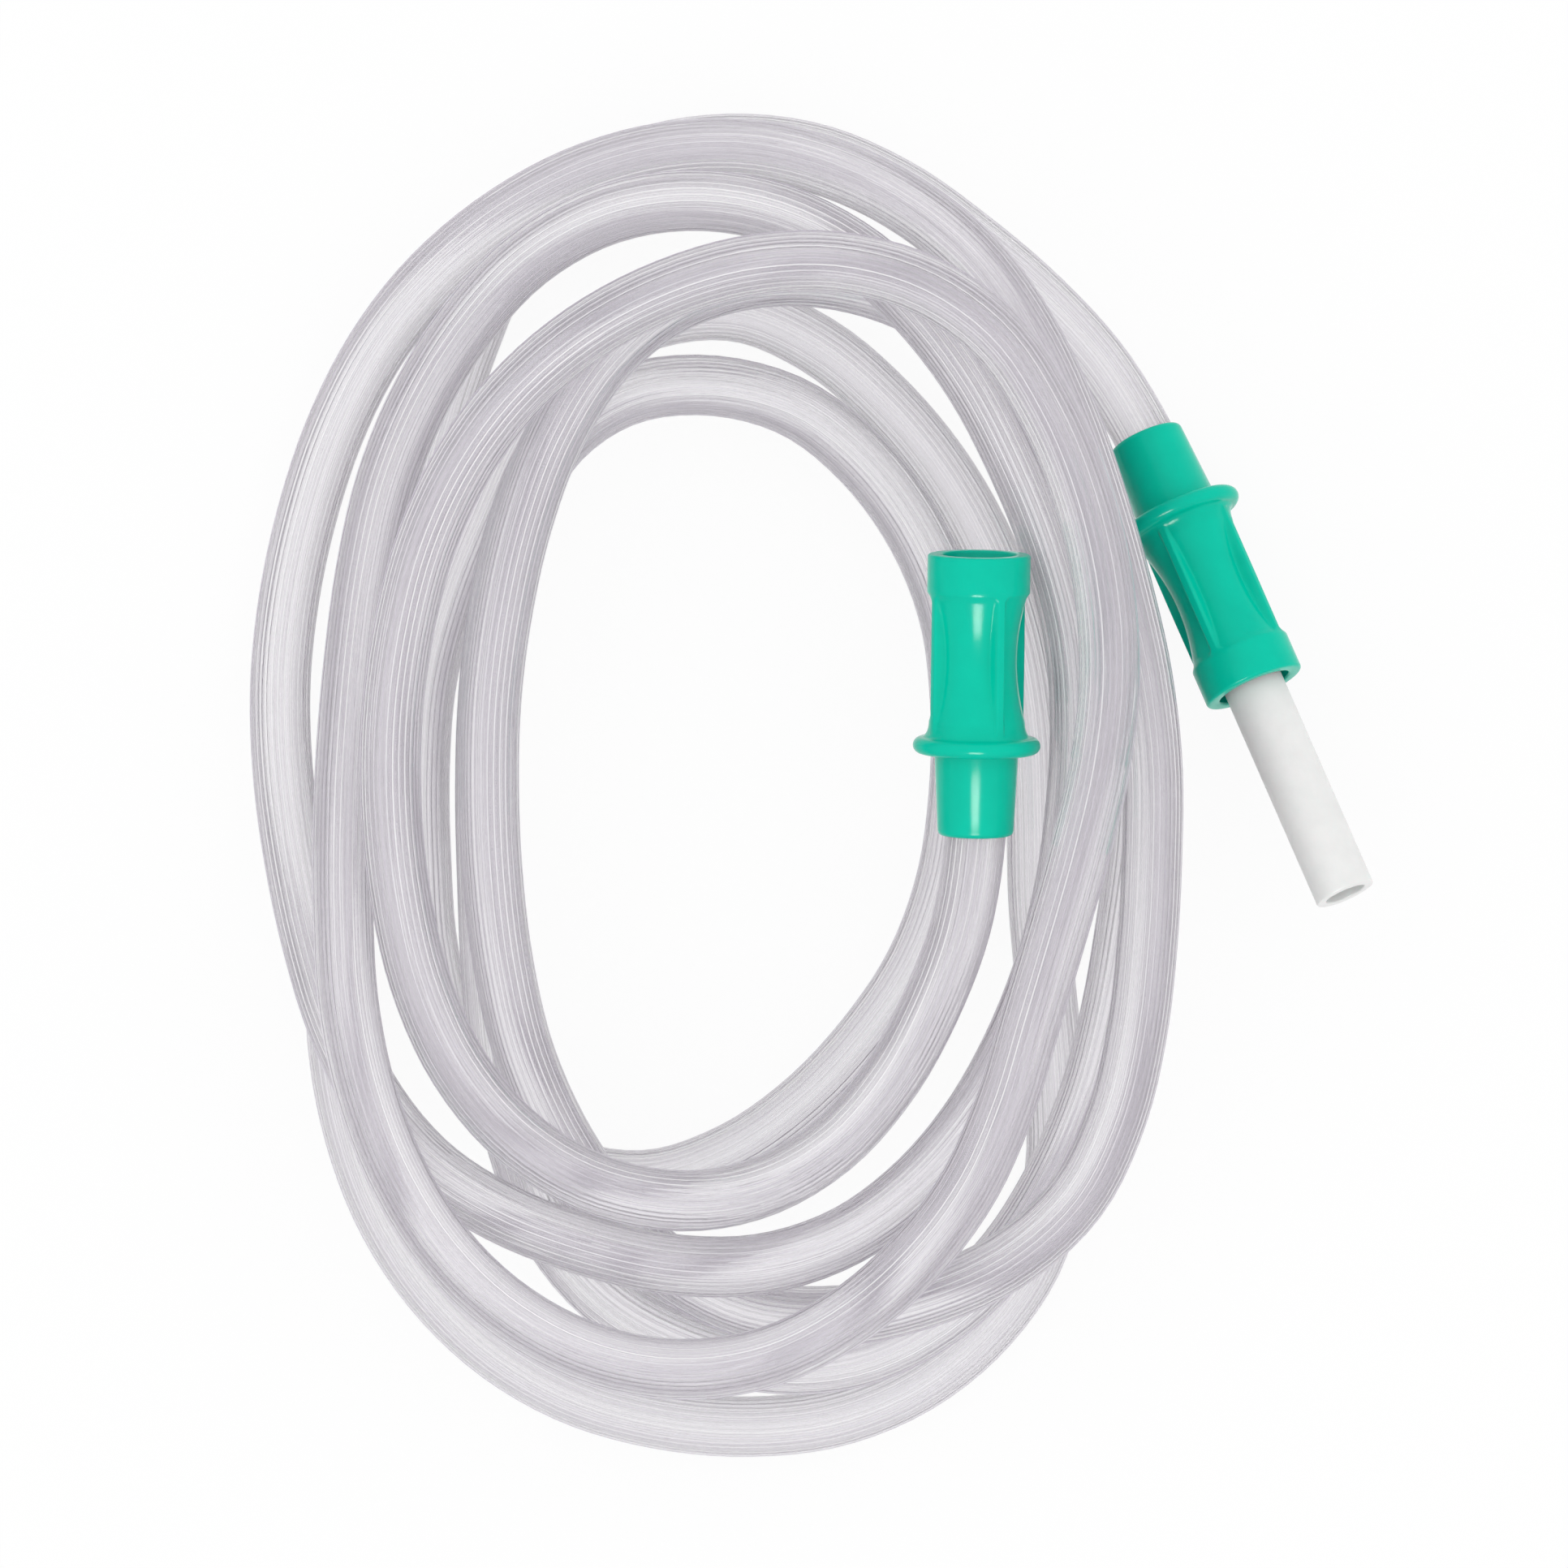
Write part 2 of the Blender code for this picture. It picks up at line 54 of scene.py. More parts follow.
# The tube's centre line, turn over turn as it lies, from the socket of the adapter's connector to that of the
# free connector. These are the points of the CAD source's route, one every 14 mm.
LAID_ROUTE: list[Point] = [
    (0.0572, 0.0438, 0.0093), (0.0525, 0.0547, 0.0067), (0.0452, 0.0665, 0.0051), (0.0357, 0.0768, 0.0048),
    (0.0250, 0.0859, 0.0048), (0.0136, 0.0939, 0.0048), (0.0007, 0.0994, 0.0048), (-0.0132, 0.1009, 0.0048),
    (-0.0269, 0.0986, 0.0048), (-0.0394, 0.0924, 0.0048), (-0.0484, 0.0817, 0.0048), (-0.0540, 0.0689, 0.0048),
    (-0.0584, 0.0556, 0.0048), (-0.0619, 0.0421, 0.0048), (-0.0651, 0.0284, 0.0048), (-0.0682, 0.0148, 0.0048),
    (-0.0710, 0.0010, 0.0048), (-0.0733, -0.0128, 0.0048), (-0.0746, -0.0267, 0.0048), (-0.0744, -0.0407, 0.0048),
    (-0.0719, -0.0545, 0.0048), (-0.0670, -0.0676, 0.0048), (-0.0594, -0.0793, 0.0048), (-0.0493, -0.0890, 0.0048),
    (-0.0372, -0.0959, 0.0048), (-0.0237, -0.0997, 0.0048), (-0.0098, -0.1009, 0.0048), (0.0041, -0.0993, 0.0048),
    (0.0170, -0.0939, 0.0048), (0.0278, -0.0850, 0.0048), (0.0355, -0.0734, 0.0048), (0.0385, -0.0598, 0.0048),
    (0.0383, -0.0458, 0.0048), (0.0370, -0.0319, 0.0048), (0.0358, -0.0179, 0.0048), (0.0355, -0.0039, 0.0048),
    (0.0348, 0.0101, 0.0048), (0.0323, 0.0239, 0.0048), (0.0277, 0.0371, 0.0048), (0.0209, 0.0493, 0.0048),
    (0.0120, 0.0601, 0.0048), (0.0013, 0.0691, 0.0048), (-0.0115, 0.0745, 0.0048), (-0.0253, 0.0732, 0.0054),
    (-0.0373, 0.0664, 0.0071), (-0.0458, 0.0555, 0.0090), (-0.0517, 0.0429, 0.0109), (-0.0568, 0.0299, 0.0116),
    (-0.0603, 0.0163, 0.0116), (-0.0614, 0.0024, 0.0112), (-0.0612, -0.0115, 0.0095), (-0.0602, -0.0253, 0.0076),
    (-0.0568, -0.0388, 0.0058), (-0.0497, -0.0507, 0.0048), (-0.0392, -0.0598, 0.0048), (-0.0256, -0.0621, 0.0048),
    (-0.0123, -0.0578, 0.0048), (-0.0008, -0.0498, 0.0048), (0.0088, -0.0396, 0.0048), (0.0165, -0.0280, 0.0048),
    (0.0213, -0.0149, 0.0057), (0.0233, -0.0011, 0.0069), (0.0235, 0.0128, 0.0082), (0.0217, 0.0267, 0.0092),
    (0.0165, 0.0396, 0.0093), (0.0082, 0.0509, 0.0099), (-0.0026, 0.0593, 0.0121), (-0.0159, 0.0627, 0.0147),
    (-0.0294, 0.0609, 0.0173), (-0.0405, 0.0528, 0.0187), (-0.0462, 0.0401, 0.0189), (-0.0491, 0.0264, 0.0187),
    (-0.0506, 0.0125, 0.0174), (-0.0510, -0.0014, 0.0159), (-0.0507, -0.0153, 0.0148), (-0.0501, -0.0293, 0.0142),
    (-0.0488, -0.0433, 0.0147), (-0.0459, -0.0569, 0.0148), (-0.0408, -0.0699, 0.0140), (-0.0319, -0.0805, 0.0128),
    (-0.0197, -0.0873, 0.0121), (-0.0062, -0.0907, 0.0120), (0.0076, -0.0896, 0.0132), (0.0201, -0.0835, 0.0141),
    (0.0303, -0.0739, 0.0146), (0.0379, -0.0621, 0.0147), (0.0434, -0.0493, 0.0146), (0.0470, -0.0358, 0.0135),
    (0.0494, -0.0223, 0.0109), (0.0512, -0.0085, 0.0108), (0.0517, 0.0054, 0.0123), (0.0507, 0.0191, 0.0153),
    (0.0483, 0.0324, 0.0189), (0.0441, 0.0457, 0.0188), (0.0377, 0.0578, 0.0162), (0.0282, 0.0680, 0.0147),
    (0.0164, 0.0754, 0.0139), (0.0035, 0.0793, 0.0170), (-0.0097, 0.0792, 0.0218), (-0.0223, 0.0749, 0.0257),
    (-0.0327, 0.0661, 0.0284), (-0.0401, 0.0543, 0.0288), (-0.0450, 0.0411, 0.0289), (-0.0481, 0.0275, 0.0288),
    (-0.0499, 0.0136, 0.0287), (-0.0503, -0.0004, 0.0280), (-0.0497, -0.0143, 0.0270), (-0.0480, -0.0282, 0.0258),
    (-0.0448, -0.0418, 0.0248), (-0.0392, -0.0546, 0.0239), (-0.0314, -0.0661, 0.0228), (-0.0215, -0.0759, 0.0226),
    (-0.0090, -0.0820, 0.0228), (0.0049, -0.0829, 0.0236), (0.0185, -0.0799, 0.0245), (0.0312, -0.0740, 0.0246),
    (0.0415, -0.0646, 0.0245), (0.0477, -0.0521, 0.0241), (0.0510, -0.0385, 0.0237), (0.0526, -0.0246, 0.0239),
    (0.0533, -0.0107, 0.0253), (0.0533, 0.0032, 0.0268), (0.0517, 0.0170, 0.0284), (0.0486, 0.0307, 0.0290),
    (0.0448, 0.0442, 0.0290), (0.0402, 0.0574, 0.0287), (0.0343, 0.0700, 0.0275), (0.0264, 0.0813, 0.0249),
    (0.0162, 0.0901, 0.0211), (0.0042, 0.0963, 0.0179), (-0.0092, 0.0996, 0.0155), (-0.0231, 0.0992, 0.0148),
    (-0.0365, 0.0954, 0.0148), (-0.0488, 0.0886, 0.0147), (-0.0595, 0.0796, 0.0138), (-0.0680, 0.0689, 0.0111),
    (-0.0744, 0.0567, 0.0084), (-0.0789, 0.0437, 0.0059), (-0.0819, 0.0301, 0.0065), (-0.0833, 0.0164, 0.0090),
    (-0.0829, 0.0027, 0.0118), (-0.0811, -0.0110, 0.0141), (-0.0782, -0.0247, 0.0149), (-0.0741, -0.0378, 0.0173),
    (-0.0680, -0.0497, 0.0216), (-0.0594, -0.0596, 0.0263), (-0.0481, -0.0668, 0.0303), (-0.0352, -0.0717, 0.0323),
    (-0.0215, -0.0747, 0.0325), (-0.0076, -0.0746, 0.0321), (0.0052, -0.0705, 0.0288), (0.0159, -0.0629, 0.0241),
    (0.0246, -0.0530, 0.0194), (0.0314, -0.0414, 0.0153), (0.0365, -0.0287, 0.0166), (0.0397, -0.0160, 0.0214),
    (0.0414, -0.0030, 0.0263), (0.0420, 0.0101, 0.0312), (0.0409, 0.0238, 0.0335), (0.0373, 0.0373, 0.0335),
    (0.0321, 0.0502, 0.0326), (0.0257, 0.0625, 0.0304), (0.0174, 0.0736, 0.0283), (0.0073, 0.0830, 0.0263),
    (-0.0051, 0.0893, 0.0256), (-0.0189, 0.0914, 0.0244), (-0.0325, 0.0890, 0.0232), (-0.0446, 0.0821, 0.0220),
    (-0.0541, 0.0719, 0.0209), (-0.0614, 0.0601, 0.0190), (-0.0666, 0.0473, 0.0170), (-0.0697, 0.0336, 0.0166),
    (-0.0715, 0.0199, 0.0182), (-0.0726, 0.0063, 0.0217), (-0.0731, -0.0070, 0.0259), (-0.0730, -0.0205, 0.0297),
    (-0.0721, -0.0341, 0.0328), (-0.0693, -0.0477, 0.0347), (-0.0643, -0.0607, 0.0353), (-0.0568, -0.0725, 0.0352),
    (-0.0467, -0.0820, 0.0339), (-0.0343, -0.0885, 0.0334), (-0.0206, -0.0910, 0.0330), (-0.0068, -0.0891, 0.0334),
    (0.0057, -0.0828, 0.0339), (0.0162, -0.0737, 0.0337), (0.0246, -0.0625, 0.0330), (0.0303, -0.0497, 0.0332),
    (0.0343, -0.0364, 0.0347), (0.0382, -0.0232, 0.0373), (0.0419, -0.0100, 0.0401), (0.0450, 0.0036, 0.0417),
    (0.0464, 0.0175, 0.0421), (0.0454, 0.0315, 0.0420), (0.0422, 0.0451, 0.0417), (0.0369, 0.0580, 0.0408),
    (0.0292, 0.0696, 0.0396), (0.0179, 0.0777, 0.0385), (0.0045, 0.0814, 0.0377), (-0.0094, 0.0809, 0.0373),
    (-0.0228, 0.0770, 0.0373), (-0.0352, 0.0704, 0.0372), (-0.0458, 0.0614, 0.0368), (-0.0541, 0.0503, 0.0349),
    (-0.0600, 0.0377, 0.0334), (-0.0635, 0.0242, 0.0324), (-0.0653, 0.0103, 0.0322), (-0.0654, -0.0036, 0.0332),
    (-0.0639, -0.0176, 0.0334), (-0.0607, -0.0312, 0.0337), (-0.0549, -0.0439, 0.0342), (-0.0459, -0.0546, 0.0348),
    (-0.0340, -0.0619, 0.0353), (-0.0204, -0.0647, 0.0350), (-0.0078, -0.0627, 0.0295), (0.0036, -0.0560, 0.0252),
    (0.0127, -0.0455, 0.0244), (0.0191, -0.0336, 0.0279), (0.0235, -0.0213, 0.0328), (0.0256, -0.0078, 0.0359),
    (0.0257, 0.0043, 0.0371),
]


def srgb(red: float, green: float, blue: float) -> Colour:
    """Turn a colour as it looks on a screen, each part from 0 to 255, into the linear one that shaders take.

    Args:
        red: The red part.
        green: The green part.
        blue: The blue part.

    Returns:
        The linear colour.
    """
    parts = (part / 255.0 for part in (red, green, blue))
    return tuple(p / 12.92 if p <= 0.04045 else ((p + 0.055) / 1.055) ** 2.4 for p in parts)


class TubeFace(Enum):
    """The two faces of the tube's wall, numbered by material slot."""

    OUTER = 0
    BORE = 1


class NodeSheet:
    """A material's node tree, with short ways to add nodes and join them."""

    def __init__(self, name: str) -> None:
        """Start a material with only its output node.

        Args:
            name: The material's name.
        """
        self.material = bpy.data.materials.new(name)
        self.material.use_nodes = True
        self.tree = self.material.node_tree
        self.tree.nodes.clear()
        self.output = self.tree.nodes.new("ShaderNodeOutputMaterial")

    def add(self, kind: str, settings: dict | None = None, inputs: dict | None = None) -> bpy.types.Node:
        """Add a node.

        Args:
            kind: The node's type, without its ShaderNode prefix.
            settings: Properties of the node.
            inputs: Socket values by name or number; a socket given as a value is linked.

        Returns:
            The new node.
        """
        node = self.tree.nodes.new("ShaderNode" + kind)
        for key, value in (settings or {}).items():
            setattr(node, key, value)
        for key, value in (inputs or {}).items():
            if isinstance(value, bpy.types.NodeSocket):
                self.tree.links.new(value, node.inputs[key])
            else:
                node.inputs[key].default_value = value
        return node

    def noise(self, vector: bpy.types.NodeSocket, scale: float, detail: float = 2.0) -> bpy.types.NodeSocket:
        """Add a noise texture and give its value.

        Args:
            vector: The coordinates that it reads.
            scale: How fine it is.
            detail: How many finer layers it has.

        Returns:
            The noise, about 0.5 in the middle.
        """
        inputs = {"Vector": vector, "Scale": scale, "Detail": detail, "Roughness": 0.55}
        return self.add("TexNoise", {"noise_dimensions": "3D"}, inputs).outputs[0]

    def graded(self, value: bpy.types.NodeSocket, low: float, high: float, to_low: float, to_high: float,
               smooth: bool = False) -> bpy.types.NodeSocket:
        """Map a value from one range to another, held at both ends.

        Args:
            value: The value to map.
            low: Where the first range starts.
            high: Where the first range ends.
            to_low: Where the second range starts.
            to_high: Where the second range ends.
            smooth: Whether the change eases in and out.

        Returns:
            The mapped value.
        """
        kind = "SMOOTHSTEP" if smooth else "LINEAR"
        inputs = {"Value": value, "From Min": low, "From Max": high, "To Min": to_low, "To Max": to_high}
        return self.add("MapRange", {"interpolation_type": kind, "clamp": True}, inputs).outputs["Result"]

    def calculated(self, operation: str, *values: bpy.types.NodeSocket | float, held: bool = False
                   ) -> bpy.types.NodeSocket:
        """Work out a value with a Math node.

        Args:
            operation: The Math node's operation.
            values: Its operands, each a socket or a number.
            held: Whether the result is held from 0 to 1.

        Returns:
            The result.
        """
        settings = {"operation": operation, "use_clamp": held}
        return self.add("Math", settings, dict(enumerate(values))).outputs[0]

    def mixed(self, share: bpy.types.NodeSocket | float, first: bpy.types.Node, second: bpy.types.Node
              ) -> bpy.types.Node:
        """Mix two shaders.

        Args:
            share: How much of the second there is.
            first: The shader at 0.
            second: The shader at 1.

        Returns:
            The mixed shader.
        """
        return self.add("MixShader", None, {0: share, 1: first.outputs[0], 2: second.outputs[0]})

    def tinted(self, share: bpy.types.NodeSocket, first: Colour, second: Colour) -> bpy.types.NodeSocket:
        """Mix two colours.

        Args:
            share: How much of the second there is.
            first: The colour at 0.
            second: The colour at 1.

        Returns:
            The mixed colour.
        """
        node = self.add("Mix", {"data_type": "RGBA"})
        self.tree.links.new(share, node.inputs[0])
        node.inputs[6].default_value = (*first, 1.0)
        node.inputs[7].default_value = (*second, 1.0)
        return node.outputs[2]

    def bump(self, height: bpy.types.NodeSocket, depth: float) -> bpy.types.NodeSocket:
        """Turn a height into a bumped normal.

        Args:
            height: The height, from 0 to 1.
            depth: How deep the bumps are, in metres.

        Returns:
            The normal.
        """
        return self.add("Bump", None, {"Height": height, "Strength": 1.0, "Distance": depth}).outputs["Normal"]

    def finish(self, surface: bpy.types.Node) -> bpy.types.Material:
        """Join the last shader to the output.

        Args:
            surface: The last shader.

        Returns:
            The finished material.
        """
        self.tree.links.new(surface.outputs[0], self.output.inputs["Surface"])
        return self.material


@dataclass(frozen=True)
class ClearVinyl:
    """Clear soft vinyl with fine ribs along it: it bends light as glass does, and a lavender haze lies over it.

    Light leans one way on one flank of each rib and the other way on the next, and the crests are painted paler, as
    a painted highlight along each rib.

    Attributes:
        haze_and_edge_shade: The haze's colour between the ribs' crests; where the wall turns away it is also
            painted shade, a darker line along the tube's edges.
        painted_crest_highlight: Its colour on the crests, a painted highlight.
        haze: How much haze there is where the wall faces the eye.
        crest_highlight_haze: How much more there is on the crests, where it paints their highlight.
        edge_shade_haze: How much more there is where the wall turns away: partly the thicker haze seen at a slant,
            partly painted shade that darkens the tube's edges.
        edge_from: How far the wall has turned away where that starts.
        crest_from: How high on a rib its crest starts, from -1 to 1.
        rib_count: How many ribs go round.
        strip: The part of the bake map's width that the face takes.
        lean: How far the ribs' flanks lean.
        wander: How far the ribs wander sideways, in radians of a rib.
        roughness: The least and the most roughness.
        forward: How much of the haze's light goes on through it.
        patch_scale: How fine the patches are that break up the ribs.
        patch_stretch: How finely they follow each other along the tube, as a share of that.
        refraction: The vinyl's index of refraction.
        lets_light: The share of a lamp's light that each face lets through.
    """

    name: str
    haze_and_edge_shade: Colour
    painted_crest_highlight: Colour
    haze: float
    crest_highlight_haze: float
    edge_shade_haze: float
    crest_from: float
    rib_count: int
    strip: tuple[float, float]
    lean: float
    roughness: tuple[float, float]
    forward: float
    edge_from: float = 0.55
    wander: float = 1.5
    patch_scale: float = 420.0
    patch_stretch: float = 0.012
    refraction: float = 1.5
    lets_light: float = 0.99

    def patches(self, sheet: NodeSheet) -> bpy.types.NodeSocket:
        """Lay long soft patches along the tube.

        Args:
            sheet: The material's nodes.

        Returns:
            A noise that changes slowly along the tube.
        """
        lay = sheet.add("Attribute", {"attribute_name": TUBE_SPACE}).outputs["Vector"]
        stretched = sheet.add("Mapping", None, {"Vector": lay, "Scale": (1.0, 1.0, self.patch_stretch)}).outputs[0]
        return sheet.noise(stretched, self.patch_scale, detail=0.0)

    def ribs(self, sheet: NodeSheet, patch: bpy.types.NodeSocket) -> bpy.types.NodeSocket:
        """Count the ribs round the tube.

        Args:
            sheet: The material's nodes.
            patch: The patches, which make the ribs wander a little.

        Returns:
            An angle that makes a full turn over each rib.
        """
        place = sheet.add("UVMap", {"uv_map": BAKE_MAP}).outputs[0]
        around = sheet.add("SeparateXYZ", None, {0: place}).outputs[0]
        turns = math.tau * self.rib_count / (self.strip[1] - self.strip[0])
        return sheet.calculated("MULTIPLY_ADD", patch, self.wander, sheet.calculated("MULTIPLY", around, turns))

    def leaning_normal(self, sheet: NodeSheet, ribs: bpy.types.NodeSocket) -> bpy.types.NodeSocket:
        """Lean the normal across the tube on the ribs' flanks.

        Args:
            sheet: The material's nodes.
            ribs: The ribs' angle.

        Returns:
            The normal.
        """
        flanks = sheet.calculated("MULTIPLY", sheet.calculated("COSINE", ribs), self.lean)
        across = sheet.add("Attribute", {"attribute_name": TUBE_ACROSS}).outputs["Vector"]
        slope = sheet.add("VectorMath", {"operation": "SCALE"}, {0: across, 3: flanks}).outputs[0]
        normal = sheet.add("NewGeometry").outputs["Normal"]
        leaning = sheet.add("VectorMath", {"operation": "ADD"}, {0: normal, 1: slope}).outputs[0]
        return sheet.add("VectorMath", {"operation": "NORMALIZE"}, {0: leaning}).outputs[0]

    def material(self) -> bpy.types.Material:
        """Build the material.

        Returns:
            A glassy and a milky shader mixed by the haze, which let the lamps' light straight through.
        """
        sheet = NodeSheet(self.name)
        patch = self.patches(sheet)
        ribs = self.ribs(sheet, patch)
        # The crests' paler colour and extra haze are a painted highlight along each rib.
        crests = sheet.graded(sheet.calculated("SINE", ribs), self.crest_from, 1.0, 0.0, 1.0, smooth=True)
        crests = sheet.calculated("MULTIPLY", crests, sheet.graded(patch, 0.36, 0.62, 0.45, 1.0))
        glass = sheet.add("BsdfGlass", None, {
            "Color": (1.0, 1.0, 1.0, 1.0), "Roughness": sheet.graded(patch, 0.3, 0.7, *self.roughness),
            "IOR": self.refraction, "Normal": self.leaning_normal(sheet, ribs),
        })
        tint = sheet.tinted(crests, self.haze_and_edge_shade, self.painted_crest_highlight)
        back = sheet.add("BsdfDiffuse", None, {"Color": tint})
        onward = sheet.add("BsdfTranslucent", None, {"Color": tint})
        milky = sheet.mixed(self.forward, back, onward)
        facing = sheet.add("LayerWeight", None, {"Blend": 0.5}).outputs["Facing"]
        # More haze where the wall turns away: partly thicker haze seen at a slant, partly painted shade that
        # darkens the tube's edges.
        edge = sheet.graded(facing, self.edge_from, 1.0, self.haze, self.haze + self.edge_shade_haze)
        haze = sheet.calculated("ADD", edge, sheet.calculated("MULTIPLY", crests, self.crest_highlight_haze), held=True)
        through = sheet.add("BsdfTransparent", None, {"Color": (self.lets_light,) * 3 + (1.0,)})
        shadow = sheet.add("LightPath").outputs["Is Shadow Ray"]
        return sheet.finish(sheet.mixed(shadow, sheet.mixed(haze, glass, milky), through))


@dataclass(frozen=True)
class MouldedPlastic:
    """Opaque moulded plastic: an even colour with a faint mottle, a fine grain and a soft gloss.

    Attributes:
        colour: Its colour.
        mottled: Its colour where the mottle is strongest.
        roughness: Its roughness, which the mottle changes a little.
        specular: How strong the gloss is.
        glow: How much light travels inside it.
        glow_depth: How far that light travels, in metres.
        mottle_scale: How fine the mottle is.
        grain_scale: How fine the grain is.
        grain_depth: How deep the grain is, in metres.
    """

    name: str
    colour: Colour
    mottled: Colour
    roughness: float
    specular: float
    glow: float
    glow_depth: float = 0.0012
    mottle_scale: float = 240.0
    grain_scale: float = 2600.0
    grain_depth: float = 0.000012

    def material(self) -> bpy.types.Material:
        """Build the material.

        Returns:
            A Principled material that reads object coordinates.
        """
        sheet = NodeSheet(self.name)
        place = sheet.add("TexCoord").outputs["Object"]
        mottle = sheet.noise(place, self.mottle_scale, 3.0)
        grain = sheet.noise(place, self.grain_scale, 2.0)
        rough = sheet.graded(mottle, 0.3, 0.7, self.roughness * 0.85, self.roughness * 1.2)
        inputs = {
            "Base Color": sheet.tinted(sheet.graded(mottle, 0.35, 0.7, 0.0, 1.0), self.colour, self.mottled),
            "Roughness": rough, "IOR": 1.46, "Specular IOR Level": self.specular,
            "Normal": sheet.bump(grain, self.grain_depth),
        }
        if self.glow > 0.0:
            inputs |= {"Subsurface Weight": self.glow, "Subsurface Radius": (0.6, 1.0, 0.9),
                       "Subsurface Scale": self.glow_depth}
        return sheet.finish(sheet.add("BsdfPrincipled", None, inputs))


@dataclass(frozen=True)
class PaleGround:
    """A matt white ground that the camera sees as white, with the object's shadow on it.

    Attributes:
        lit_share: How much of what the camera sees is lit by the lamps; the rest is plain white.
        matt: The lit part's colour, a grey.
    """

    name: str
    lit_share: float
    matt: float = 0.95

    def material(self) -> bpy.types.Material:
        """Build the material.

        Returns:
            Plain white mixed with matt for the camera's rays, and matt for all others.
        """
        sheet = NodeSheet(self.name)
        path = sheet.add("LightPath").outputs
        seen = sheet.calculated("MAXIMUM", path["Is Camera Ray"], path["Is Glossy Ray"], held=True)
        seen = sheet.calculated("MAXIMUM", seen, path["Is Transmission Ray"], held=True)
        share = sheet.graded(seen, 0.0, 1.0, 0.0, 1.0 - self.lit_share)
        lit = sheet.add("BsdfDiffuse", None, {"Color": (self.matt,) * 3 + (1.0,)})
        white = sheet.add("Emission", None, {"Color": (1.0, 1.0, 1.0, 1.0), "Strength": 1.0})
        return sheet.finish(sheet.mixed(share, lit, white))


TUBE_SPACE = "tube_space"
TUBE_ACROSS = "tube_across"
BAKE_MAP = "OFBake"

# The crests' paler colours are painted highlights along the ribs.
TUBE_FINISHES = {
    # The outer wall's darker haze at its edges is partly painted shade.
    TubeFace.OUTER: ClearVinyl(
        "clear_tube_wall", haze_and_edge_shade=srgb(190, 178, 200), painted_crest_highlight=srgb(255, 255, 255), haze=0.03, crest_highlight_haze=0.62,
        edge_shade_haze=0.45, crest_from=0.42, rib_count=30, strip=(0.0, 0.6), lean=0.04, roughness=(0.02, 0.06),
        forward=0.0,
    ),
    TubeFace.BORE: ClearVinyl(
        "clear_tube_bore", haze_and_edge_shade=srgb(234, 226, 238), painted_crest_highlight=srgb(246, 245, 248), haze=0.2, crest_highlight_haze=0.1,
        edge_shade_haze=0.0, crest_from=0.0, rib_count=26, strip=(0.62, 1.0), lean=0.45, roughness=(0.0, 0.05),
        forward=0.3,
    ),
}
TEAL = MouldedPlastic(
    "teal_moulded_vinyl", colour=srgb(0, 202, 172), mottled=srgb(0, 197, 168), roughness=0.17, specular=0.12,
    glow=0.0,
)
FROSTED = MouldedPlastic(
    "frosted_white_adapter", colour=srgb(238, 238, 237), mottled=srgb(233, 233, 232), roughness=0.42,
    specular=0.4, glow=0.15,
)
GROUND = PaleGround("pale_ground", lit_share=0.08)


@dataclass(frozen=True)
class Placement:
    """How a straight piece lies: its low end, the way it points and how it is turned on its own axis."""

    start: Point
    heading: float
    tilt: float
    turn: float = 0.0

    def matrix(self, along: float = 0.0) -> Matrix:
        """Give the placing matrix: local +Z runs along the piece and local +Y is as near up as it goes.

        Args:
            along: How far from the start the local origin is, in metres.

        Returns:
            The matrix from the piece's own space to the scene's.
        """
        heading, tilt = math.radians(self.heading), math.radians(self.tilt)
        axis = Vector((math.cos(heading) * math.cos(tilt), math.sin(heading) * math.cos(tilt), math.sin(tilt)))
        side = Vector((0.0, 0.0, 1.0)).cross(axis).normalized()
        frame_axes = Matrix((side, axis.cross(side), axis)).transposed().to_4x4()
        turned = frame_axes @ Matrix.Rotation(math.radians(self.turn), 4, "Z")
        return Matrix.Translation(Vector(self.start) + axis * along) @ turned


FREE_PLACE = Placement(start=(0.0256, -0.0078, 0.035866), heading=89.3, tilt=6.0, turn=27.0)
ADAPTER_PLACE = Placement(start=(0.0525, 0.0547, 0.006662), heading=-66.6, tilt=12.5, turn=27.0)


def rounded(centre_r: float, centre_z: float, radius: float, start: float, end: float, count: int
            ) -> list[tuple[float, float]]:
    """Give the points of a round corner in an outline of (radius, height) points.

    Args:
        centre_r: The corner's centre, out from the axis.
        centre_z: The corner's centre, along the axis.
        radius: The corner's radius.
        start: The first angle, in degrees.
        end: The last angle, in degrees.
        count: The number of points.

    Returns:
        The points.
    """
    angles = [math.radians(start + (end - start) * i / (count - 1)) for i in range(count)]
    return [(centre_r + radius * math.cos(a), centre_z + radius * math.sin(a)) for a in angles]


def spun(outline: list[tuple[float, float]], steps: int) -> bmesh.types.BMesh:
    """Spin a closed outline round the Z axis.

    Args:
        outline: The (radius, height) points in order.
        steps: How many steps make the full turn.

    Returns:
        A closed mesh with its faces outwards.
    """
    bm = bmesh.new()
    corners = [bm.verts.new((r, 0.0, z)) for r, z in outline]
    edges = [bm.edges.new((a, b)) for a, b in zip(corners, corners[1:] + corners[:1])]
    bmesh.ops.spin(bm, geom=corners + edges, cent=(0.0, 0.0, 0.0), axis=(0.0, 0.0, 1.0), dvec=(0.0, 0.0, 0.0),
                   angle=math.tau, steps=steps, use_merge=True, use_duplicate=False)
    bmesh.ops.remove_doubles(bm, verts=bm.verts, dist=1e-7)
    bmesh.ops.recalc_face_normals(bm, faces=bm.faces)
    return bm


